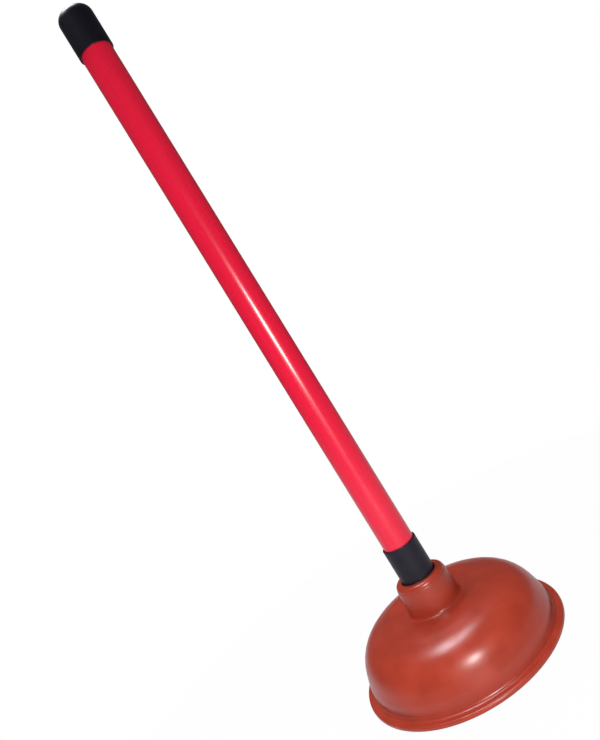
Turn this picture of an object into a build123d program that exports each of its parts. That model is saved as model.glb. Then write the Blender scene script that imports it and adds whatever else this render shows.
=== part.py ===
"""Toilet plunger: a soft rubber force cup with a moulded screw socket, on a plastic-coated steel handle.

The cup stands on its rim on the plane Z = 0 and the handle rises along +Z. All sizes are millimetres.

The cup is one rubber moulding on the real object. It is cut here, round the root of its neck, into the
thin bell that flexes and the thick neck that travels with the handle. The handle is a thin steel tube in
a plastic coating, closed at its top by a push-on cap. Its lower end sits in a plastic ferrule with a
coarse moulded screw, which turns into the thread moulded inside the neck.
"""

from build123d import *

import os
from math import dist, radians, tan

# Handle tube
tube_diameter = 22.0  # over the plastic coating
coating_wall = 0.35
steel_wall = 0.4
coating_gap = 0.02  # radial, coating on steel
overall_height = 490.0  # floor to the top of the end cap

# End cap
cap_wall = 0.85
cap_length = 30.6
cap_end_wall = 2.4
cap_corner = 5.6
cap_mouth_round = 0.35
cap_bore_gap = 0.2  # radial, between the cap's bore and the coating
grip_ring_gap = 0.08  # radial, between a grip ring and the coating
grip_ring_width = 1.2
grip_ring_pitch = 6.0
grip_ring_count = 3
grip_ring_start = 4.0  # from the cap's mouth to the first ring
cap_end_play = 0.3  # between the tube's top and the cap's floor

# Ferrule
sleeve_wall = 1.1
sleeve_above_neck = 24.7
sleeve_in_neck = 6.0
sleeve_round = 0.4
socket_gap = 0.05  # radial, coating in the ferrule's socket
socket_floor_wall = 3.0  # from the sleeve's shoulder up to the socket's floor
spigot_gap = 0.15  # radial, spigot in the steel tube
spigot_height = 12.0
spigot_wall = 2.2
spigot_chamfer = 0.8
shank_wall = 2.4
shank_tip_chamfer = 0.8
core_end_wall = 2.0  # from the top of the shank's core to the sleeve's shoulder

# Screw thread: right-hand, one start, male on the ferrule and female in the neck
thread_pitch = 5.0
thread_depth = 1.5
thread_crest = 1.1  # axial width of the male thread at its crest
thread_root = 2.3  # axial width of the male thread at its root
thread_length = 19.0  # axial run of the male helix
thread_relief = 2.4  # from the shoulder down to the middle of the male thread's last turn
thread_gap = 0.25  # between the male and the female thread, along the radius and along the axis
thread_bite = 0.3  # how far a thread's section runs into the body that carries it
shoulder_gap = 0.2  # between the ferrule's shoulder and the floor of the neck's counterbore
tip_gap = 0.4  # between the ferrule's tip and the floor of the neck's socket
tip_length = 2.4  # shank below the middle of the male thread's first turn

# Neck
neck_wall = 5.2  # rubber round the counterbore, at the neck's top
neck_taper = 1.3  # extra radius at the neck's root
neck_height = 22.6  # neck root to the top of its lip
neck_lip_round = 3.6
mouth_round = 0.6
mouth_gap = 0.5  # radial, between the counterbore and the ferrule's sleeve
neck_root_round = 1.8
socket_end_wall = 3.6  # rubber that closes the bottom of the socket
boss_wall = 4.6  # rubber round the thread, inside the bell
boss_round = 2.0
boss_root_round = 2.0

# Bell
rim_diameter = 144.0
rim_thickness = 3.0
rim_overhang = 5.6  # from the foot of the bell's outside to the rim's edge
rim_land = 11.0  # width of the flat ring that the rim stands on
rim_round = 1.1
crease_round = 2.4
land_round = 0.9
bell_wall = 3.8
belly_height = 11.0  # up to here the bell's side stands straight, and above it leans in
belly_round = 12.0
shoulder_inset = 6.3  # from the bell's straight side in to the shoulder's corner
shoulder_height = 31.5
shoulder_round = 25.0
crown_ring_radius = 33.5  # the ring-shaped ridge round the neck, before it is rounded
crown_ring_height = 39.7
crown_round = 26.0
neck_root_height = 35.8  # the bell's outside where the neck grows from it
split_margin = 1.4  # from the neck's root round out to the cut between bell and neck
split_gap = 0.15  # radial, between the bell and the neck at the cut

# Radii
tube_radius = tube_diameter / 2
steel_radius = tube_radius - coating_wall - coating_gap
steel_bore_radius = steel_radius - steel_wall
cap_bore_radius = tube_radius + cap_bore_gap
cap_radius = cap_bore_radius + cap_wall
socket_radius = tube_radius + socket_gap
sleeve_radius = socket_radius + sleeve_wall
spigot_radius = steel_bore_radius - spigot_gap
male_crest_radius = socket_radius
male_root_radius = male_crest_radius - thread_depth
female_root_radius = male_crest_radius + thread_gap
female_crest_radius = male_root_radius + thread_gap
core_radius = male_root_radius - shank_wall
counterbore_radius = sleeve_radius + mouth_gap
neck_top_radius = counterbore_radius + neck_wall
neck_root_radius = neck_top_radius + neck_taper
boss_radius = female_root_radius + boss_wall
split_radius = neck_root_radius + neck_root_round + split_margin
rim_radius = rim_diameter / 2
bell_foot_radius = rim_radius - rim_overhang

# Heights
neck_top = neck_root_height + neck_height
counterbore_floor = neck_top - sleeve_in_neck
shoulder = counterbore_floor + shoulder_gap
sleeve_top = neck_top + sleeve_above_neck
socket_floor = shoulder + socket_floor_wall
core_top = shoulder - core_end_wall
thread_top = shoulder - thread_relief
thread_bottom = thread_top - thread_length
shank_tip = thread_bottom - tip_length
neck_socket_floor = shank_tip - tip_gap
boss_bottom = neck_socket_floor - socket_end_wall
cap_mouth = overall_height - cap_length
cap_floor = overall_height - cap_end_wall
tube_top = cap_floor - cap_end_play


def corner(profile, radius, height):
    """The corner of a half-section nearest to a radius and a height."""
    return profile.vertices().sort_by_distance((radius, height))[0]


def helical_ridge(root_radius, crest_radius, root_width, crest_width, bottom, length):
    """A trapezoidal thread of one start, as a solid of its own, to be joined to what carries it."""
    depth = crest_radius - root_radius
    with BuildPart(mode=Mode.PRIVATE) as ridge:
        with BuildLine(Plane.XY.offset(bottom)):
            Helix(pitch=thread_pitch, height=length, radius=root_radius)
        with BuildSketch(Plane(origin=(root_radius, 0, bottom), x_dir=(1, 0, 0), z_dir=(0, -1, 0))):
            with BuildLine():
                Polyline(
                    (0, -root_width / 2),
                    (depth, -crest_width / 2),
                    (depth, crest_width / 2),
                    (0, root_width / 2),
                    close=True,
                )
            make_face()
        sweep(is_frenet=True)
    return ridge.part


def tube(outer_radius, inner_radius, bottom, top):
    """A plain tube on the Z axis, made inside the current part."""
    with BuildSketch(Plane.XY.offset(bottom)) as ring:
        Circle(outer_radius)
        Circle(inner_radius, mode=Mode.SUBTRACT)
    extrude(ring.sketch, amount=top - bottom)


def limited(radius, run, before, point, after):
    """A round's radius, cut down where the straight run left for it beside a corner is too short."""
    turn = (Vector(*point) - Vector(*before)).get_angle(Vector(*after) - Vector(*point))
    return min(radius, run / tan(radians(turn) / 2))


def write(piece, name):
    """Label a finished piece and write its STEP file."""
    piece.part.label = name
    export_step(piece.part, f"parts/{name}.step")


os.makedirs("parts", exist_ok=True)

# The cup's wall in half-section, from inside the rim up over the shoulder and the crown to the neck's
# boss. The bell and the neck both take their stretch of it, so their faces run on across the cut.
root_slope = (crown_ring_height - neck_root_height) / (crown_ring_radius - neck_root_radius)
wall_end_radius = boss_radius - bell_wall / 2
wall_start = (bell_foot_radius, rim_thickness / 2)
belly_corner = (bell_foot_radius, belly_height)
shoulder_corner = (bell_foot_radius - shoulder_inset, shoulder_height)
crown_corner = (crown_ring_radius, crown_ring_height)
wall_end = (wall_end_radius, neck_root_height - root_slope * (neck_root_radius - wall_end_radius))
crown_run = dist(shoulder_corner, crown_corner)
with BuildSketch(mode=Mode.PRIVATE) as cup_wall:
    with BuildLine():
        FilletPolyline(
            wall_start,
            belly_corner,
            shoulder_corner,
            crown_corner,
            wall_end,
            radius=[
                belly_round,
                limited(shoulder_round, 0.6 * crown_run, belly_corner, shoulder_corner, crown_corner),
                limited(crown_round, 0.35 * crown_run, shoulder_corner, crown_corner, wall_end),
            ],
        )
        offset(amount=bell_wall, side=Side.LEFT)
    make_face()

with BuildPart() as cup_bell:
    with BuildSketch(Plane.XZ) as bell_section:
        add(cup_wall.sketch)
        with Locations((rim_radius - rim_land, 0)):
            Rectangle(rim_land, rim_thickness, align=(Align.MIN, Align.MIN))
        Rectangle(2 * (split_radius + split_gap), 4 * shoulder_height, mode=Mode.SUBTRACT)
        fillet(corner(bell_section, rim_radius, rim_thickness), rim_round)
        fillet(corner(bell_section, rim_radius, 0), rim_round)
        fillet(corner(bell_section, bell_foot_radius, rim_thickness), crease_round)
        fillet(corner(bell_section, rim_radius - rim_land, rim_thickness), land_round)
    revolve(axis=Axis.Z)
write(cup_bell, "cup_bell")

with BuildPart() as cup_neck:
    with BuildSketch(Plane.XZ) as neck_section:
        add(cup_wall.sketch)
        with Locations((split_radius, 0)):
            Rectangle(rim_radius, 4 * shoulder_height, align=(Align.MIN, Align.CENTER), mode=Mode.SUBTRACT)
        with BuildLine():
            Polyline(
                (0, boss_bottom),
                (boss_radius, boss_bottom),
                (boss_radius, neck_root_height - bell_wall / 2),
                (neck_root_radius, neck_root_height - bell_wall / 2),
                (neck_top_radius, neck_top),
                (counterbore_radius, neck_top),
                (counterbore_radius, counterbore_floor),
                (female_root_radius, counterbore_floor),
                (female_root_radius, neck_socket_floor),
                (0, neck_socket_floor),
                close=True,
            )
        make_face()
        fillet(corner(neck_section, boss_radius, boss_bottom), boss_round)
        fillet(corner(neck_section, boss_radius, neck_root_height - bell_wall), boss_root_round)
        fillet(corner(neck_section, neck_root_radius, neck_root_height), neck_root_round)
        fillet(corner(neck_section, neck_top_radius, neck_top), neck_lip_round)
        fillet(corner(neck_section, counterbore_radius, neck_top), mouth_round)
    revolve(axis=Axis.Z)
    add(
        helical_ridge(
            root_radius=female_root_radius + thread_bite,
            crest_radius=female_crest_radius,
            root_width=thread_pitch - thread_crest - 2 * thread_gap,
            crest_width=thread_pitch - thread_root - 2 * thread_gap,
            bottom=thread_bottom - thread_pitch / 2,
            length=thread_length + thread_pitch / 2,
        )
    )
write(cup_neck, "cup_neck")

with BuildPart() as threaded_ferrule:
    with BuildSketch(Plane.XZ) as ferrule_section:
        with BuildLine():
            Polyline(
                (0, core_top),
                (core_radius, core_top),
                (core_radius, shank_tip),
                (male_root_radius, shank_tip),
                (male_root_radius, shoulder),
                (sleeve_radius, shoulder),
                (sleeve_radius, sleeve_top),
                (socket_radius, sleeve_top),
                (socket_radius, socket_floor),
                (spigot_radius, socket_floor),
                (spigot_radius, socket_floor + spigot_height),
                (spigot_radius - spigot_wall, socket_floor + spigot_height),
                (spigot_radius - spigot_wall, socket_floor),
                (0, socket_floor),
                close=True,
            )
        make_face()
        chamfer(corner(ferrule_section, male_root_radius, shank_tip), shank_tip_chamfer)
        chamfer(corner(ferrule_section, spigot_radius, socket_floor + spigot_height), spigot_chamfer)
        fillet(corner(ferrule_section, sleeve_radius, sleeve_top), sleeve_round)
        fillet(corner(ferrule_section, sleeve_radius, shoulder), sleeve_round)
    revolve(axis=Axis.Z)
    add(
        helical_ridge(
            root_radius=male_root_radius - thread_bite,
            crest_radius=male_crest_radius,
            root_width=thread_root,
            crest_width=thread_crest,
            bottom=thread_bottom,
            length=thread_length,
        )
    )
write(threaded_ferrule, "threaded_ferrule")

with BuildPart() as steel_tube:
    tube(steel_radius, steel_bore_radius, socket_floor, tube_top)
write(steel_tube, "steel_tube")

with BuildPart() as tube_coating:
    tube(tube_radius, tube_radius - coating_wall, socket_floor, tube_top)
write(tube_coating, "tube_coating")

with BuildPart() as end_cap:
    with BuildSketch(Plane.XZ) as cap_section:
        with BuildLine():
            Polyline(
                (0, cap_floor),
                (cap_bore_radius, cap_floor),
                (cap_bore_radius, cap_mouth),
                (cap_radius, cap_mouth),
                (cap_radius, overall_height),
                (0, overall_height),
                close=True,
            )
        make_face()
        fillet(corner(cap_section, cap_radius, overall_height), cap_corner)
        fillet(corner(cap_section, cap_radius, cap_mouth), cap_mouth_round)
    revolve(axis=Axis.Z)
    for ring in range(grip_ring_count):
        ring_bottom = cap_mouth + grip_ring_start + ring * grip_ring_pitch
        ring_top = ring_bottom + grip_ring_width
        tube(cap_bore_radius + cap_wall / 2, tube_radius + grip_ring_gap, ring_bottom, ring_top)
write(end_cap, "end_cap")
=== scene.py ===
"""Toilet plunger: its finished pieces, materials, studio and camera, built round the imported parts.

Run inside Blender. Every piece that shows is a body of revolution, so one node tree turns them all from
a half-section, adds the screw threads and leaves a plain mesh. All sizes are in metres, on the frame's axes.
"""

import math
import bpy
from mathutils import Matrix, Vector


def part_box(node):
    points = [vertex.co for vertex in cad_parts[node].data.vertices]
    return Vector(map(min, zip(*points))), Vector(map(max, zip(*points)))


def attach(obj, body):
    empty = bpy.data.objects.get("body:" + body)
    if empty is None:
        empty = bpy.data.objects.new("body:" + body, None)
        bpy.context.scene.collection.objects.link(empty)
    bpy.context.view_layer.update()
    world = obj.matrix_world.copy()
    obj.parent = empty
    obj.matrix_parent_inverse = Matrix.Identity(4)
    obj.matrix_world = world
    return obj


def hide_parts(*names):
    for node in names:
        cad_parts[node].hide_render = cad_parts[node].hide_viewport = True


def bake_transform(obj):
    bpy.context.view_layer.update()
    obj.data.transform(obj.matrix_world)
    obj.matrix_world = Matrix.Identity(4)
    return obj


bl_info = {
    "name": "Toilet Plunger",
    "version": (1, 0, 0),
    "blender": (4, 5, 0),
    "location": "3D View > Sidebar > Plunger",
    "description": "Builds a rubber plunger cup, its ferrule, coated handle and end cap, and a small studio",
    "category": "Add Mesh",
}

import bpy
from mathutils import Matrix, Vector

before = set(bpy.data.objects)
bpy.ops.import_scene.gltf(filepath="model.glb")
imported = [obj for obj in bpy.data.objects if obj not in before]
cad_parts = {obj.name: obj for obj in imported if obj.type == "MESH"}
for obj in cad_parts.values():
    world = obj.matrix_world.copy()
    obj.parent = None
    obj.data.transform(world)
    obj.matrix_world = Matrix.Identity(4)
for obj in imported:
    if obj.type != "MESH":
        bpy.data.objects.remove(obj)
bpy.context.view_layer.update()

MM = 0.001
BELL_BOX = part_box("cup_bell")
NECK_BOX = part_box("cup_neck")
FERRULE_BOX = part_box("threaded_ferrule")
STEEL_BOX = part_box("steel_tube")
COATING_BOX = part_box("tube_coating")
CAP_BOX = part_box("end_cap")


# ---------------------------------------------------------------------------------------------------
# Sizes and colours that a user may change


def length(name, default, description):
    """A size in metres, as a property."""
    return bpy.props.FloatProperty(
        name=name, default=default, description=description, unit="LENGTH", precision=5, min=0.0
    )


def swatch(name, default, description):
    """A linear RGB colour, as a property."""
    return bpy.props.FloatVectorProperty(
        name=name, default=default, description=description, subtype="COLOR", size=3, min=0.0, max=1.0
    )


def angle(name, degrees, description):
    """An angle, given in degrees, as a property."""
    return bpy.props.FloatProperty(
        name=name, default=math.radians(degrees), description=description, subtype="ANGLE"
    )


def power(name, default, description):
    """A lamp's power in watts, as a property."""
    return bpy.props.FloatProperty(
        name=name, default=default, description=description, unit="POWER", min=0.0
    )


class PlungerCupSettings(bpy.types.PropertyGroup):
    """The rubber cup and its neck."""

    rim_radius: length("Rim radius", BELL_BOX[1].y, "Axis to the rim's outer edge")
    rim_thickness: length("Rim thickness", 3.0 * MM, "Height of the flat rim")
    rim_overhang: length("Rim overhang", 5.6 * MM, "Foot of the bell's outside to the rim's edge")
    rim_land: length("Rim land", 11.0 * MM, "Width of the flat ring that seals")
    rim_round: length("Rim round", 1.1 * MM, "Rounding of the rim's outer corners")
    crease_round: length("Crease round", 2.4 * MM, "Rounding between the rim's top and the bell's side")
    wall: length("Wall", 3.8 * MM, "Thickness of the bell's wall")
    belly_height: length("Belly height", 11.0 * MM, "Height up to which the bell's side stands straight")
    belly_round: length("Belly round", 12.0 * MM, "Rounding where the bell's side begins to lean in")
    shoulder_inset: length("Shoulder inset", 6.3 * MM, "Straight side of the bell in to its shoulder")
    shoulder_height: length("Shoulder height", 31.5 * MM, "Height of the shoulder's corner")
    shoulder_round: length("Shoulder round", 25.0 * MM, "Rounding of the shoulder")
    crown_radius: length("Crown ring radius", 33.5 * MM, "Radius of the highest ring of the bell")
    crown_height: length("Crown ring height", 39.7 * MM, "Height of that ring before rounding")
    crown_round: length("Crown round", 26.0 * MM, "Rounding of the crown")
    root_radius: length("Neck root radius", 19.15 * MM, "Neck's outside where it leaves the bell")
    root_height: length("Neck root height", 35.8 * MM, "Height where the neck leaves the bell")
    root_round: length("Neck root round", 1.8 * MM, "Rounding at the neck's root")
    neck_radius: length("Neck radius", 17.85 * MM, "Neck's outside below its lip")
    lip_round: length("Lip round", 3.6 * MM, "Rounding of the neck's lip")
    lip_height: length("Lip height", 3.85 * MM, "Lip's top down to the moulding line round it")
    lip_step: length("Lip step", 0.35 * MM, "How far the lip stands back from the neck at that line")
    mouth_radius: length("Mouth radius", 12.65 * MM, "Counterbore that takes the ferrule's collar")
    mouth_depth: length("Mouth depth", 6.0 * MM, "Depth of that counterbore")
    mouth_round: length("Mouth round", 0.6 * MM, "Rounding of the mouth's edge")
    boss_radius: length("Boss radius", 15.9 * MM, "Rubber round the thread, inside the bell")
    boss_round: length("Boss round", 2.0 * MM, "Rounding of the boss's lower edge")
    socket_play: length("Socket play", 0.4 * MM, "Ferrule's tip down to the floor of the socket")
    nub_size: length("Nub size", 1.6 * MM, "Reach of the moulding nub at the mouth, across the edge")
    nub_gap: length("Nub gap", 0.05 * MM, "Moulding nub to the ferrule's collar")
    nub_angle: angle("Nub place", -105, "Where the moulding nub stands, turned from +X")
    nub_turn: angle("Nub width", 16, "Turn over which the moulding nub fades out")
    colour: swatch("Rubber", (0.35, 0.037, 0.017), "Base colour of the rubber")


class PlungerHandleSettings(bpy.types.PropertyGroup):
    """The ferrule, the coated tube and the end cap."""

    tube_radius: length("Tube radius", COATING_BOX[1].y, "Axis to the outside of the coating")
    coating_wall: length("Coating wall", 0.35 * MM, "Thickness of the tube's coating")
    collar_radius: length("Collar radius", FERRULE_BOX[1].y, "Outside of the ferrule's collar")
    collar_wall: length("Collar wall", 1.1 * MM, "Wall of the collar round the tube")
    socket_height: length("Socket height", COATING_BOX[0].z, "Floor that the tube stands on")
    shoulder_height: length("Shoulder height", 52.6 * MM, "Underside of the collar, above the screw")
    thread_pitch: length("Thread pitch", 5.0 * MM, "Lift in one turn of the screw")
    thread_depth: length("Thread depth", 1.5 * MM, "Root to crest of the screw")
    thread_crest: length("Thread crest", 1.1 * MM, "Width of the screw's crest")
    thread_root: length("Thread root", 2.3 * MM, "Width of the screw's ridge at its root")
    thread_bottom: length("Thread bottom", 31.2 * MM, "Height of the ridge's middle at its start")
    thread_top: length("Thread top", 50.2 * MM, "Height of the ridge's middle at its end")
    thread_gap: length("Thread gap", 0.25 * MM, "Clearance between male and female threads")
    shank_wall: length("Shank wall", 2.4 * MM, "Wall of the hollow shank under the screw's root")
    core_end_wall: length("Core end wall", 2.0 * MM, "Plastic between the shank's hollow and the shoulder")
    spigot_radius: length(
        "Spigot radius", STEEL_BOX[1].y - 0.55 * MM, "Outside of the spigot in the steel tube"
    )
    spigot_wall: length("Spigot wall", 2.2 * MM, "Wall of that spigot")
    spigot_height: length("Spigot height", 12.0 * MM, "Floor of the tube's socket to the spigot's top")
    chamfer: length("Chamfer", 0.8 * MM, "Eased edges of the shank, its hollow and the spigot")
    collar_round: length("Collar round", 0.4 * MM, "Rounding of the collar's outer edges")
    socket_edge: length("Socket edge", 0.25 * MM, "Rounding of the edge that the tube passes")
    cap_radius: length("Cap radius", CAP_BOX[1].y, "Outside of the end cap")
    cap_corner: length("Cap corner", 5.6 * MM, "Rounding of the end cap's top")
    cap_end_wall: length("Cap end wall", 2.4 * MM, "Thickness of the end cap's top")
    cap_bore_gap: length("Cap bore gap", 0.2 * MM, "Coating to the end cap's bore")
    cap_mouth_round: length("Cap mouth round", 0.35 * MM, "Rounding of the end cap's open edge")
    ring_gap: length("Grip ring gap", 0.08 * MM, "Coating to a grip ring in the end cap")
    ring_width: length("Grip ring width", 1.2 * MM, "Height of a grip ring")
    ring_pitch: length("Grip ring pitch", 6.0 * MM, "Spacing of the grip rings")
    ring_start: length("Grip ring start", 4.0 * MM, "End cap's mouth to the first grip ring")
    coating_colour: swatch("Coating", (0.78, 0.009, 0.042), "Base colour of the tube's coating")
    ferrule_colour: swatch("Ferrule", (0.008, 0.007, 0.015), "Base colour of the ferrule")
    cap_colour: swatch("Cap", (0.004, 0.003, 0.008), "Base colour of the end cap")


class PlungerStageSettings(bpy.types.PropertyGroup):
    """The floor, the lights and the camera."""

    floor_size: length("Floor size", 12.0, "Side of the square floor")
    floor_colour: swatch("Floor", (0.72, 0.72, 0.72), "Pale floor")
    camera_distance: length("Camera distance", 417.6 * MM, "Axis to the camera, along -Y")
    camera_height: length("Camera height", 223.1 * MM, "Floor to the camera")
    camera_aim: bpy.props.FloatVectorProperty(
        name="Aim point", default=(9.29 * MM, 0.0, 213.08 * MM), size=3, subtype="TRANSLATION",
        description="Point that the camera looks at",
    )
    camera_roll: angle("Camera roll", -31.61, "Turn of the camera about its line of sight")
    camera_lens: bpy.props.FloatProperty(
        name="Focal length", default=30.79, min=1.0,
        description="Focal length in millimetres on a 36 mm sensor",
    )
    camera_shift: bpy.props.FloatVectorProperty(
        name="Camera shift", default=(-0.0105, -0.0022), size=2, precision=4,
        description="Sideways and upward shift of the picture, as shares of its longer side",
    )
    overhead_power: power("Overhead power", 15.6, "The wide lamp above the cup")
    glint_power: power("Glint power", 2.0, "The small lamp in front, seen only in reflections")
    fill_power: power("Fill power", 2.4, "The lamp in front, which shows in no reflection")


# ---------------------------------------------------------------------------------------------------
# Half-sections: rounded corners, walls and points


ARC_STEP = math.radians(9)  # turn of each straight piece of an arc
ARC_LEAST = 3  # fewest pieces in an arc


def rounded(corners, step):
    """Points of an outline given as (radius, height, round) corners, with arcs at the rounded ones.

    Straight runs are divided so that no piece is longer than the step. A fourth number at a corner is the
    finer step of the run that follows it, whose points carry the thread. Gives (radius, height, thread).
    """
    runs = []
    for index, (r, z, radius, *finer) in enumerate(corners):
        here = Vector((r, z))
        run = [here]
        if radius > 0:
            to_before = (Vector(corners[index - 1][:2]) - here).normalized()
            to_after = (Vector(corners[index + 1][:2]) - here).normalized()
            half = to_before.angle(to_after) / 2
            centre = here + (to_before + to_after).normalized() * radius / math.sin(half)
            start = here + to_before * radius / math.tan(half) - centre
            turn = math.copysign(math.pi - 2 * half, to_before.cross(to_after))
            count = max(ARC_LEAST, math.ceil(abs(turn) / ARC_STEP))
            run = [centre + Matrix.Rotation(-turn * k / count, 2) @ start for k in range(count + 1)]
        runs.append((run, finer[0] if finer else 0))
    points = []
    before = 0
    for run, finer in runs:
        if points:
            gap = run[0] - points[-1][0]
            count = max(1, math.ceil(gap.length / (before or step)))
            points += [(points[-1][0] + gap * k / count, 1.0 if before else 0.0) for k in range(1, count)]
        points += [(point, 0.0) for point in run]
        before = finer
    return [(point.x, point.y, thread) for point, thread in points]


def inner_corner(before, corner, after, wall):
    """The corner of a line that runs a wall's thickness to the left of an outline's corner."""
    along = (Vector(corner) - Vector(before)).normalized()
    onward = (Vector(after) - Vector(corner)).normalized()
    left = (along.orthogonal() + onward.orthogonal()).normalized()
    return Vector(corner) + left * wall / left.dot(along.orthogonal())


# ---------------------------------------------------------------------------------------------------
# Node tree that turns a half-section round the Z axis


class NodeWriter:
    """Adds nodes to a tree and links them, so that a formula reads as calls."""

    def __init__(self, tree):
        self.tree = tree

    def add(self, kind, *values, output=0, **settings):
        """A node of a kind, with its settings and its first inputs set or linked. Gives one output."""
        node = self.tree.nodes.new(kind)
        for name, value in settings.items():
            setattr(node, name, value)
        for socket, value in zip([s for s in node.inputs if s.enabled], values):
            if isinstance(value, bpy.types.NodeSocket):
                self.tree.links.new(value, socket)
            elif value is not None:
                socket.default_value = value
        return [s for s in node.outputs if s.enabled][output]

    def calc(self, operation, *values):
        """A math node."""
        return self.add("ShaderNodeMath", *values, operation=operation)

    def smooth(self, value, low, high):
        """A smooth rise from 0 to 1 as the value goes from low to high."""
        return self.add("ShaderNodeMapRange", value, low, high, 0.0, 1.0, interpolation_type="SMOOTHSTEP")


THREAD_FADE = 0.12  # share of the pitch over which the ridge's height rises at its ends
NUB_CORE = 0.35  # share of the nub's size that is drawn in fully
MERGE_REACH = 0.001 * MM  # points nearer than this are one point

TURNED_INPUTS = (
    ("Outline", "NodeSocketGeometry", None),
    ("Segments", "NodeSocketInt", 160),
    ("Thread Pitch", "NodeSocketFloat", 5 * MM),
    ("Thread Rise", "NodeSocketFloat", 0.0),
    ("Thread Crest", "NodeSocketFloat", 1.1 * MM),
    ("Thread Root", "NodeSocketFloat", 2.3 * MM),
    ("Thread Bottom", "NodeSocketFloat", 0.0),
    ("Thread Top", "NodeSocketFloat", 0.0),
    ("Nub Radius", "NodeSocketFloat", 0.0),
    ("Nub Height", "NodeSocketFloat", 0.0),
    ("Nub Size", "NodeSocketFloat", 0.0),
    ("Nub Reach", "NodeSocketFloat", 0.0),
    ("Nub Angle", "NodeSocketFloat", 0.0),
    ("Nub Turn", "NodeSocketFloat", 0.1),
    ("Material", "NodeSocketMaterial", None),
)


def turned_tree():
    """The node tree of a turned piece.

    Its input is a line of points in the XZ plane, with the piece's material on its left, whose thread
    attribute is 1 where the screw's ridge stands.
    """
    tree = bpy.data.node_groups.get("Turned piece")
    if tree:
        return tree
    tree = bpy.data.node_groups.new("Turned piece", "GeometryNodeTree")
    for name, kind, default in TURNED_INPUTS:
        socket = tree.interface.new_socket(name, in_out="INPUT", socket_type=kind)
        if default is not None:
            socket.default_value = default
    tree.interface.new_socket("Piece", in_out="OUTPUT", socket_type="NodeSocketGeometry")
    given = tree.nodes.new("NodeGroupInput").outputs
    write = NodeWriter(tree)
    outline = given["Outline"]

    # A grid with one row for each point of the outline and one column for each step of the turn
    rows = write.add("GeometryNodeAttributeDomainSize", outline)
    columns = write.calc("ADD", given["Segments"], 1.0)
    grid = write.add("GeometryNodeMeshGrid", 1.0, 1.0, columns, rows)
    index = write.add("GeometryNodeInputIndex")
    column = write.calc("FLOOR", write.calc("DIVIDE", write.calc("ADD", index, 0.5), rows))
    row = write.calc("SUBTRACT", index, write.calc("MULTIPLY", column, rows))
    turns = write.calc("DIVIDE", column, given["Segments"])
    bearing = write.calc("MULTIPLY", turns, math.tau)
    place = write.add(
        "GeometryNodeSampleIndex",
        outline,
        write.add("GeometryNodeInputPosition"),
        row,
        data_type="FLOAT_VECTOR",
    )
    thread = write.add(
        "GeometryNodeSampleIndex",
        outline,
        write.add("GeometryNodeInputNamedAttribute", "thread", data_type="FLOAT"),
        row,
        data_type="FLOAT",
    )
    radius = write.add("ShaderNodeSeparateXYZ", place, output=0)
    height = write.add("ShaderNodeSeparateXYZ", place, output=2)

    # The screw's ridge: a trapezoid about the nearest turn of a helix, which fades at both its ends
    pitch = given["Thread Pitch"]
    climb = write.calc("DIVIDE", write.calc("SUBTRACT", height, given["Thread Bottom"]), pitch)
    lag = write.calc("SUBTRACT", climb, turns)
    phase = write.calc("SUBTRACT", write.calc("FRACT", write.calc("ADD", lag, 0.5)), 0.5)
    away = write.calc("MULTIPLY", phase, pitch)
    crest = write.calc("MULTIPLY", given["Thread Crest"], 0.5)
    root = write.calc("MULTIPLY", given["Thread Root"], 0.5)
    flank = write.add("ShaderNodeMapRange", write.calc("ABSOLUTE", away), crest, root, 1.0, 0.0)
    middle = write.calc("SUBTRACT", height, away)
    fade = write.calc("MULTIPLY", pitch, THREAD_FADE)
    top = given["Thread Top"]
    starts = write.smooth(middle, given["Thread Bottom"], write.calc("ADD", given["Thread Bottom"], fade))
    ends = write.smooth(middle, top, write.calc("SUBTRACT", top, fade))
    ridge = write.calc("MULTIPLY", flank, thread)
    ridge = write.calc("MULTIPLY", ridge, write.calc("MULTIPLY", starts, ends))
    radius = write.calc("ADD", radius, write.calc("MULTIPLY", ridge, given["Thread Rise"]))

    # A small nub on one side, which draws a corner of the section in to a given radius
    across = write.calc("SUBTRACT", radius, given["Nub Radius"])
    above = write.calc("SUBTRACT", height, given["Nub Height"])
    apart = write.calc("ADD", write.calc("POWER", across, 2.0), write.calc("POWER", above, 2.0))
    apart = write.calc("SQRT", apart)
    near = write.smooth(apart, given["Nub Size"], write.calc("MULTIPLY", given["Nub Size"], NUB_CORE))
    beside = write.calc("SUBTRACT", bearing, given["Nub Angle"])
    beside = write.calc("ABSOLUTE", write.calc("WRAP", beside, math.pi, -math.pi))
    facing = write.smooth(beside, given["Nub Turn"], 0.0)
    nub = write.calc("MULTIPLY", near, facing)
    drawn = write.calc("MULTIPLY", nub, write.calc("SUBTRACT", given["Nub Reach"], radius))
    radius = write.calc("ADD", radius, drawn)

    turned = write.add(
        "ShaderNodeCombineXYZ",
        write.calc("MULTIPLY", radius, write.calc("COSINE", bearing)),
        write.calc("MULTIPLY", radius, write.calc("SINE", bearing)),
        height,
    )
    skin = write.add("GeometryNodeSetPosition", grid, None, turned)
    skin = write.add("GeometryNodeMergeByDistance", skin, None, MERGE_REACH)
    skin = write.add("GeometryNodeSetShadeSmooth", skin)
    skin = write.add("GeometryNodeRealizeInstances", skin)
    skin = write.add("GeometryNodeSetMaterial", skin, None, given["Material"])
    tree.links.new(skin, tree.nodes.new("NodeGroupOutput").inputs["Piece"])
    return tree


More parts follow.
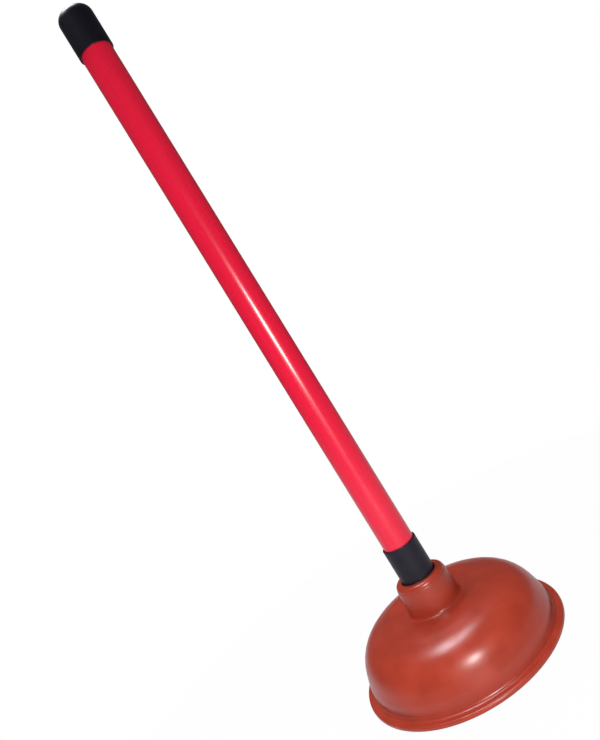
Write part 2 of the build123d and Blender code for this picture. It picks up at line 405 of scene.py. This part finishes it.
def turn_piece(name, outline, material, **inputs):
    """A mesh turned from an outline of (radius, height, thread) points.

    An open outline starts and ends on the axis, and a closed one ends where it starts.
    """
    line = bpy.data.meshes.new(name)
    points = [(r, 0.0, z) for r, z, thread in outline]
    line.from_pydata(points, [(i, i + 1) for i in range(len(points) - 1)], [])
    marks = line.attributes.new("thread", "FLOAT", "POINT")
    marks.data.foreach_set("value", [thread for r, z, thread in outline])
    piece = bpy.data.objects.new(name, line)
    bpy.context.scene.collection.objects.link(piece)
    tree = turned_tree()
    modifier = piece.modifiers.new("Turn", "NODES")
    modifier.node_group = tree
    identifiers = {s.name: s.identifier for s in tree.interface.items_tree if s.in_out == "INPUT"}
    modifier[identifiers["Material"]] = material
    for socket, value in inputs.items():
        modifier[identifiers[socket.replace("_", " ").title()]] = value
    evaluated = piece.evaluated_get(bpy.context.evaluated_depsgraph_get())
    mesh = bpy.data.meshes.new_from_object(evaluated)
    piece.modifiers.clear()
    piece.data = mesh
    mesh.name = name
    bpy.data.meshes.remove(line)
    if not mesh.polygons:
        raise RuntimeError(f"{name} was turned into nothing")
    return piece


# ---------------------------------------------------------------------------------------------------
# Materials


OBJECT_COORDINATES = 3  # output of the Texture Coordinate node
COLOUR_A, COLOUR_B, COLOUR_RESULT = 6, 7, 2  # the Mix node's sockets for colours
CAMERA_RAY, GLOSSY_RAY = 0, 3  # outputs of the Light Path node
SURFACE_IOR = 1.5  # refractive index of every finish
NOISE_MIDDLE = (0.3, 0.7)  # the range that most of a noise lies in


class Finish:
    """A material of one principled shader, with helpers for the procedural detail of its surface."""

    def __init__(self, name, colour, roughness, gloss=0.5):
        self.material = bpy.data.materials.new(name)
        self.material.use_nodes = True
        self.material.diffuse_color = (*colour, 1.0)
        self.write = NodeWriter(self.material.node_tree)
        self.shader = self.material.node_tree.nodes["Principled BSDF"]
        self.coordinates = self.write.add("ShaderNodeTexCoord", output=OBJECT_COORDINATES)
        self.set("Base Color", (*colour, 1.0))
        self.set("Roughness", roughness)
        self.set("IOR", SURFACE_IOR)
        self.set("Specular IOR Level", gloss)

    def set(self, socket, value):
        """Set or link one of the shader's sockets."""
        if isinstance(value, bpy.types.NodeSocket):
            self.material.node_tree.links.new(value, self.shader.inputs[socket])
        else:
            self.shader.inputs[socket].default_value = value

    def noise(self, size, detail, stretch=(1.0, 1.0, 1.0)):
        """Noise whose blots are about a given size in metres, stretched along the axes."""
        scale = tuple(1.0 / (size * s) for s in stretch)
        place = self.write.add("ShaderNodeMapping", self.coordinates, None, None, scale)
        return self.write.add("ShaderNodeTexNoise", place, 1.0, detail, output=0)

    def blend(self, share, low, high):
        """A colour between two, by a share."""
        node = self.material.node_tree.nodes.new("ShaderNodeMix")
        node.data_type = "RGBA"
        self.material.node_tree.links.new(share, node.inputs["Factor"])
        node.inputs[COLOUR_A].default_value = (*low, 1.0)
        node.inputs[COLOUR_B].default_value = (*high, 1.0)
        return node.outputs[COLOUR_RESULT]

    def spread(self, share, low, high):
        """A number between two, as a noise goes over its middle range."""
        return self.write.add("ShaderNodeMapRange", share, *NOISE_MIDDLE, low, high)


def shade(colour, factor):
    """A colour made lighter or darker."""
    return tuple(min(1.0, c * factor) for c in colour)


def rubber_finish(colour):
    """Moulded rubber: satin, with a faint mottle in its colour and its gloss."""
    finish = Finish("cup_rubber", colour, roughness=0.3, gloss=0.45)
    mottle = finish.spread(finish.noise(14 * MM, 4.0), 0.0, 1.0)
    finish.set("Base Color", finish.blend(mottle, shade(colour, 0.90), shade(colour, 1.10)))
    finish.set("Roughness", finish.spread(mottle, 0.29, 0.33))
    return finish.material


def coating_finish(colour):
    """Smooth extruded plastic: fairly glossy, with faint drawing lines along the tube."""
    finish = Finish("handle_coating", colour, roughness=0.22)
    drawn = finish.noise(1.2 * MM, 3.0, stretch=(1.0, 1.0, 60.0))
    streaks = finish.spread(drawn, 0.0, 1.0)
    finish.set("Base Color", finish.blend(streaks, shade(colour, 0.95), shade(colour, 1.05)))
    finish.set("Roughness", finish.spread(drawn, 0.20, 0.24))
    return finish.material


def moulded_finish(name, colour, roughness):
    """Moulded black plastic with a slightly uneven tone and gloss."""
    finish = Finish(name, colour, roughness, gloss=0.3)
    cloud = finish.spread(finish.noise(6 * MM, 3.0), 0.0, 1.0)
    finish.set("Base Color", finish.blend(cloud, shade(colour, 0.85), shade(colour, 1.2)))
    finish.set("Roughness", finish.spread(finish.noise(2 * MM, 3.0), roughness - 0.05, roughness + 0.05))
    return finish.material


def steel_finish():
    """Bare rolled steel, with fine drawing lines along the tube."""
    finish = Finish("tube_steel", (0.55, 0.56, 0.58), roughness=0.35)
    drawn = finish.noise(0.6 * MM, 3.0, stretch=(1.0, 1.0, 90.0))
    finish.set("Metallic", 1.0)
    finish.set("Roughness", finish.spread(drawn, 0.28, 0.42))
    finish.set("Base Color", finish.blend(drawn, (0.48, 0.49, 0.51), (0.62, 0.63, 0.65)))
    return finish.material


def fit_out(piece, body, slot, *nodes):
    """Say which body a finished piece rides on and hide the CAD nodes it stands for. The slot is not used.
    """
    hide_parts(*nodes)
    if body:
        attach(piece, body)


# ---------------------------------------------------------------------------------------------------
# Pieces

FINE = 0.25 * MM  # step along a wall that carries a thread
PLAIN = 2.0 * MM  # step along any other wall
LONG = 10.0 * MM  # step along the tube, which is straight
SOFT_CORNER = 0.3 * MM  # rounding of a corner that needs no other
CUP_SEGMENTS = 192  # steps of the turn round the cup, which is the widest piece
BOSS_SEAM = 0.1 * MM  # between the bell's skin and the boss that is set in it
GRIP_RINGS = 3  # in the end cap's bore


def female_thread(handle):
    """Inputs of the thread moulded in the neck, half a pitch from the ferrule's and clear of it."""
    return {
        "thread_pitch": handle.thread_pitch,
        "thread_rise": -handle.thread_depth,
        "thread_crest": handle.thread_pitch - handle.thread_root - 2 * handle.thread_gap,
        "thread_root": handle.thread_pitch - handle.thread_crest - 2 * handle.thread_gap,
        "thread_bottom": handle.thread_bottom - handle.thread_pitch / 2,
        "thread_top": handle.thread_top,
    }


class PLUNGER_OT_rubber_cup(bpy.types.Operator):
    """Build the rubber bell with the outside of its neck, and the threaded socket inside the neck"""

    bl_idname = "plunger.rubber_cup"
    bl_label = "Rubber cup"

    def execute(self, context):
        cup = context.scene.plunger_cup
        handle = context.scene.plunger_handle
        rubber = rubber_finish(cup.colour)
        neck_top = NECK_BOX[1].z
        mouth_floor = neck_top - cup.mouth_depth
        boss_bottom = NECK_BOX[0].z
        foot = (cup.rim_radius - cup.rim_overhang, cup.rim_thickness)
        shoulder = (foot[0] - cup.shoulder_inset, cup.shoulder_height)
        crown = (cup.crown_radius, cup.crown_height)
        root = (cup.root_radius, cup.root_height)
        land_inside = cup.rim_radius - cup.rim_land
        lip = Vector((cup.neck_radius, neck_top))
        lip_foot = lip.lerp(Vector(root), cup.lip_height / (neck_top - cup.root_height))

        # The inside runs a wall's thickness under the outside, from the boss out to the rim's land
        belly = (foot[0], cup.belly_height)
        inner_crown = inner_corner(shoulder, crown, root, cup.wall)
        inner_shoulder = inner_corner(belly, shoulder, crown, cup.wall)
        inner_belly = inner_corner(foot, belly, shoulder, cup.wall)
        inward = (Vector(root) - Vector(crown)).normalized()
        boss_edge = cup.boss_radius + BOSS_SEAM
        boss_root = inner_crown.y + inward.y / inward.x * (boss_edge - inner_crown.x)
        outline = rounded(
            [
                (boss_edge, boss_root + SOFT_CORNER, 0),
                (boss_edge, boss_root, 0),
                (*inner_crown, cup.crown_round - cup.wall),
                (*inner_shoulder, cup.shoulder_round - cup.wall),
                (*inner_belly, cup.belly_round - cup.wall),
                (inner_belly.x, cup.rim_thickness, SOFT_CORNER),
                (land_inside, cup.rim_thickness, SOFT_CORNER),
                (land_inside, 0, SOFT_CORNER),
                (cup.rim_radius, 0, cup.rim_round),
                (cup.rim_radius, cup.rim_thickness, cup.rim_round),
                (*foot, cup.crease_round),
                (*belly, cup.belly_round),
                (*shoulder, cup.shoulder_round),
                (*crown, cup.crown_round),
                (*root, cup.root_round),
                (*lip_foot, 2 * cup.lip_step),
                (lip_foot.x - cup.lip_step, lip_foot.y + cup.lip_step, cup.lip_step),
                (lip.x - cup.lip_step, lip.y, cup.lip_round - cup.lip_step),
                (cup.mouth_radius, neck_top, cup.mouth_round),
                (cup.mouth_radius, mouth_floor, SOFT_CORNER),
                (boss_edge, mouth_floor, 0),
                (boss_edge, boss_root + SOFT_CORNER, 0),
            ],
            PLAIN,
        )
        bell = turn_piece(
            "rubber_cup",
            outline,
            rubber,
            segments=CUP_SEGMENTS,
            nub_radius=cup.mouth_radius,
            nub_height=neck_top,
            nub_size=cup.nub_size,
            nub_reach=handle.collar_radius + cup.nub_gap,
            nub_angle=cup.nub_angle,
            nub_turn=cup.nub_turn,
        )
        fit_out(bell, None, "cup_rubber", "cup_bell")
        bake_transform(bell)

        socket_radius = handle.collar_radius - handle.collar_wall + handle.thread_gap
        socket_floor = FERRULE_BOX[0].z - cup.socket_play
        boss = turn_piece(
            "socket_boss",
            rounded(
                [
                    (0, boss_bottom, 0),
                    (cup.boss_radius, boss_bottom, cup.boss_round),
                    (cup.boss_radius, mouth_floor - BOSS_SEAM, SOFT_CORNER),
                    (socket_radius, mouth_floor - BOSS_SEAM, SOFT_CORNER, FINE),
                    (socket_radius, socket_floor, SOFT_CORNER),
                    (0, socket_floor, 0),
                ],
                PLAIN,
            ),
            rubber,
            **female_thread(handle),
        )
        fit_out(boss, "neck", "cup_rubber", "cup_neck")
        return {"FINISHED"}


class PLUNGER_OT_threaded_ferrule(bpy.types.Operator):
    """Build the black ferrule: a collar round the tube, a spigot inside it and a coarse screw below"""

    bl_idname = "plunger.threaded_ferrule"
    bl_label = "Threaded ferrule"

    def execute(self, context):
        handle = context.scene.plunger_handle
        bottom, top = FERRULE_BOX[0].z, FERRULE_BOX[1].z
        crest = handle.collar_radius - handle.collar_wall
        shank = crest - handle.thread_depth
        core = shank - handle.shank_wall
        core_top = handle.shoulder_height - handle.core_end_wall
        spigot_bore = handle.spigot_radius - handle.spigot_wall
        spigot_top = handle.socket_height + handle.spigot_height
        piece = turn_piece(
            "ferrule",
            rounded(
                [
                    (0, core_top, 0),
                    (core, core_top, handle.chamfer),
                    (core, bottom, SOFT_CORNER),
                    (shank, bottom, handle.chamfer, FINE),
                    (shank, handle.shoulder_height, SOFT_CORNER),
                    (handle.collar_radius, handle.shoulder_height, handle.collar_round),
                    (handle.collar_radius, top, handle.collar_round),
                    (crest, top, handle.socket_edge),
                    (crest, handle.socket_height, SOFT_CORNER),
                    (handle.spigot_radius, handle.socket_height, SOFT_CORNER),
                    (handle.spigot_radius, spigot_top, handle.chamfer),
                    (spigot_bore, spigot_top, SOFT_CORNER),
                    (spigot_bore, handle.socket_height, SOFT_CORNER),
                    (0, handle.socket_height, 0),
                ],
                PLAIN,
            ),
            moulded_finish("ferrule_plastic", handle.ferrule_colour, roughness=0.45),
            thread_pitch=handle.thread_pitch,
            thread_rise=handle.thread_depth,
            thread_crest=handle.thread_crest,
            thread_root=handle.thread_root,
            thread_bottom=handle.thread_bottom,
            thread_top=handle.thread_top,
        )
        fit_out(piece, "handle", "ferrule_plastic", "threaded_ferrule")
        return {"FINISHED"}


class PLUNGER_OT_handle_tube(bpy.types.Operator):
    """Build the tube's plastic coating and give the steel tube inside it a finish"""

    bl_idname = "plunger.handle_tube"
    bl_label = "Handle tube"

    def execute(self, context):
        handle = context.scene.plunger_handle
        bottom, top = COATING_BOX[0].z, COATING_BOX[1].z
        inside = handle.tube_radius - handle.coating_wall
        edge = 0.1 * MM
        piece = turn_piece(
            "coating",
            rounded(
                [
                    (inside, (bottom + top) / 2, 0),
                    (inside, bottom, edge),
                    (handle.tube_radius, bottom, edge),
                    (handle.tube_radius, top, edge),
                    (inside, top, edge),
                    (inside, (bottom + top) / 2, 0),
                ],
                LONG,
            ),
            coating_finish(handle.coating_colour),
        )
        fit_out(piece, "handle", "handle_coating", "tube_coating")
        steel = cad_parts["steel_tube"]
        steel.data.materials.clear()
        steel.data.materials.append(steel_finish())
        return {"FINISHED"}


class PLUNGER_OT_end_cap(bpy.types.Operator):
    """Build the push-on cap at the top of the handle, with the grip rings in its bore"""

    bl_idname = "plunger.end_cap"
    bl_label = "End cap"

    def execute(self, context):
        handle = context.scene.plunger_handle
        bottom, top = CAP_BOX[0].z, CAP_BOX[1].z
        bore = handle.tube_radius + handle.cap_bore_gap
        ring_bore = handle.tube_radius + handle.ring_gap
        rings = []
        for number in reversed(range(GRIP_RINGS)):
            low = bottom + handle.ring_start + handle.ring_pitch * number
            high = low + handle.ring_width
            rings += [(bore, high, 0), (ring_bore, high, 0), (ring_bore, low, 0), (bore, low, 0)]
        piece = turn_piece(
            "cap",
            rounded(
                [
                    (0, top - handle.cap_end_wall, 0),
                    (bore, top - handle.cap_end_wall, SOFT_CORNER),
                    *rings,
                    (bore, bottom, SOFT_CORNER / 2),
                    (handle.cap_radius, bottom, handle.cap_mouth_round),
                    (handle.cap_radius, top, handle.cap_corner),
                    (0, top, 0),
                ],
                PLAIN,
            ),
            moulded_finish("cap_plastic", handle.cap_colour, roughness=0.42),
        )
        fit_out(piece, "cap", "cap_plastic", "end_cap")
        return {"FINISHED"}


# ---------------------------------------------------------------------------------------------------
# Studio


WORLD_LIGHT = 0.17  # strength of the even light on the object
WORLD_MIRRORED = 0.09  # its strength in reflections
VEIL_RISE = (0.05, 0.35)  # distances from the origin over which the floor fades to white
VEIL_LEAST = 0.96  # share of white in the floor right under the object


def area_light(name, place, aim, size, watts, tint=(1.0, 1.0, 1.0)):
    """A soft elliptical lamp that shines at a point."""
    lamp = bpy.data.lights.new(name, "AREA")
    lamp.shape = "ELLIPSE"
    lamp.size, lamp.size_y = size
    lamp.energy = watts
    lamp.color = tint
    holder = bpy.data.objects.new(name, lamp)
    holder.location = place
    holder.rotation_euler = (Vector(aim) - Vector(place)).to_track_quat("-Z", "Y").to_euler()
    bpy.context.scene.collection.objects.link(holder)
    return holder


def studio_world():
    """White where the camera looks, a dim even light on the object, and dimmer still in its reflections."""
    world = bpy.data.worlds.new("studio")
    world.use_nodes = True
    write = NodeWriter(world.node_tree)
    background = world.node_tree.nodes["Background"]
    seen = write.add("ShaderNodeLightPath", output=CAMERA_RAY)
    mirrored = write.add("ShaderNodeLightPath", output=GLOSSY_RAY)
    light = write.add("ShaderNodeMapRange", mirrored, 0.0, 1.0, WORLD_LIGHT, WORLD_MIRRORED)
    strength = write.add("ShaderNodeMapRange", seen, 0.0, 1.0, light, 1.0)
    world.node_tree.links.new(strength, background.inputs["Strength"])
    background.inputs["Color"].default_value = (1.0, 1.0, 1.0, 1.0)
    bpy.context.scene.world = world


def pale_floor(size, colour):
    """A pale floor that fades into the white round it."""
    mesh = bpy.data.meshes.new("floor")
    half = size / 2
    corners = [(-half, -half, 0), (half, -half, 0), (half, half, 0), (-half, half, 0)]
    mesh.from_pydata(corners, [], [(0, 1, 2, 3)])
    floor = bpy.data.objects.new("floor", mesh)
    bpy.context.scene.collection.objects.link(floor)
    finish = Finish("floor_paint", colour, roughness=0.8)
    write = finish.write
    reach = write.add("ShaderNodeVectorMath", finish.coordinates, operation="LENGTH")
    links = finish.material.node_tree.links
    seen = write.add("ShaderNodeLightPath", output=CAMERA_RAY)
    lit = write.add("ShaderNodeEmission", (1.0, 1.0, 1.0, 1.0), 1.0)
    veil = write.calc("MULTIPLY", seen, write.smooth(reach, *VEIL_RISE))
    veil = write.calc("MAXIMUM", veil, write.calc("MULTIPLY", seen, VEIL_LEAST))
    mixed = write.add("ShaderNodeMixShader", veil, finish.shader.outputs[0], lit)
    links.new(mixed, finish.material.node_tree.nodes["Material Output"].inputs["Surface"])
    mesh.materials.append(finish.material)


class PLUNGER_OT_stage(bpy.types.Operator):
    """Build the pale floor, the soft lights and the camera"""

    bl_idname = "plunger.stage"
    bl_label = "Stage"

    def execute(self, context):
        stage = context.scene.plunger_stage
        context.scene.view_settings.view_transform = "Standard"
        pale_floor(stage.floor_size, stage.floor_colour)
        studio_world()
        area_light(
            "overhead",
            place=(-0.09, 0.10, 1.3),
            aim=(0, 0, 0),
            size=(0.72, 0.42),
            watts=stage.overhead_power,
            tint=(0.95, 0.93, 1.0),
        )
        glint = area_light(
            "glint",
            place=(0.03, -0.46, 0.27),
            aim=(0, 0, 0.2),
            size=(0.07, 0.11),
            watts=stage.glint_power,
            tint=(1.0, 0.96, 0.92),
        )
        glint.visible_diffuse = False
        fill = area_light(
            "fill",
            place=(-0.03, -0.56, 0.17),
            aim=(0, 0, 0.15),
            size=(0.3, 0.3),
            watts=stage.fill_power,
        )
        fill.visible_glossy = False
        camera = bpy.data.objects.new("camera", bpy.data.cameras.new("camera"))
        camera.location = (0, -stage.camera_distance, stage.camera_height)
        sight = (Vector(stage.camera_aim) - camera.location).to_track_quat("-Z", "Y").to_matrix()
        camera.rotation_euler = (sight @ Matrix.Rotation(stage.camera_roll, 3, "Z")).to_euler()
        camera.data.sensor_width = 36.0
        camera.data.lens = stage.camera_lens
        camera.data.shift_x, camera.data.shift_y = stage.camera_shift
        camera.data.clip_start = 0.01
        context.scene.collection.objects.link(camera)
        context.scene.camera = camera
        return {"FINISHED"}


class VIEW3D_PT_plunger(bpy.types.Panel):
    """The plunger's sizes, colours and building steps"""

    bl_label = "Toilet Plunger"
    bl_idname = "VIEW3D_PT_plunger"
    bl_space_type = "VIEW_3D"
    bl_region_type = "UI"
    bl_category = "Plunger"

    def draw(self, context):
        for operators, settings in (
            (CUP_OPERATORS, context.scene.plunger_cup),
            (HANDLE_OPERATORS, context.scene.plunger_handle),
            (STAGE_OPERATORS, context.scene.plunger_stage),
        ):
            box = self.layout.box()
            for operator in operators:
                box.operator(operator.bl_idname)
            for name in settings.bl_rna.properties.keys():
                if name not in ("rna_type", "name"):
                    box.prop(settings, name)


CUP_OPERATORS = (PLUNGER_OT_rubber_cup,)
HANDLE_OPERATORS = (PLUNGER_OT_threaded_ferrule, PLUNGER_OT_handle_tube, PLUNGER_OT_end_cap)
STAGE_OPERATORS = (PLUNGER_OT_stage,)
SETTINGS = {
    "plunger_cup": PlungerCupSettings,
    "plunger_handle": PlungerHandleSettings,
    "plunger_stage": PlungerStageSettings,
}


def register():
    for settings in SETTINGS.values():
        bpy.utils.register_class(settings)
    for name, settings in SETTINGS.items():
        setattr(bpy.types.Scene, name, bpy.props.PointerProperty(type=settings))
    for cls in (*CUP_OPERATORS, *HANDLE_OPERATORS, *STAGE_OPERATORS, VIEW3D_PT_plunger):
        bpy.utils.register_class(cls)


def unregister():
    for cls in (VIEW3D_PT_plunger, *STAGE_OPERATORS, *HANDLE_OPERATORS, *CUP_OPERATORS):
        bpy.utils.unregister_class(cls)
    for name in SETTINGS:
        delattr(bpy.types.Scene, name)
    for settings in SETTINGS.values():
        bpy.utils.unregister_class(settings)


def main():
    """Build the whole scene."""
    register()
    bpy.ops.plunger.stage()
    bpy.ops.plunger.rubber_cup()
    bpy.ops.plunger.threaded_ferrule()
    bpy.ops.plunger.handle_tube()
    bpy.ops.plunger.end_cap()


if __name__ == "__main__":
    main()
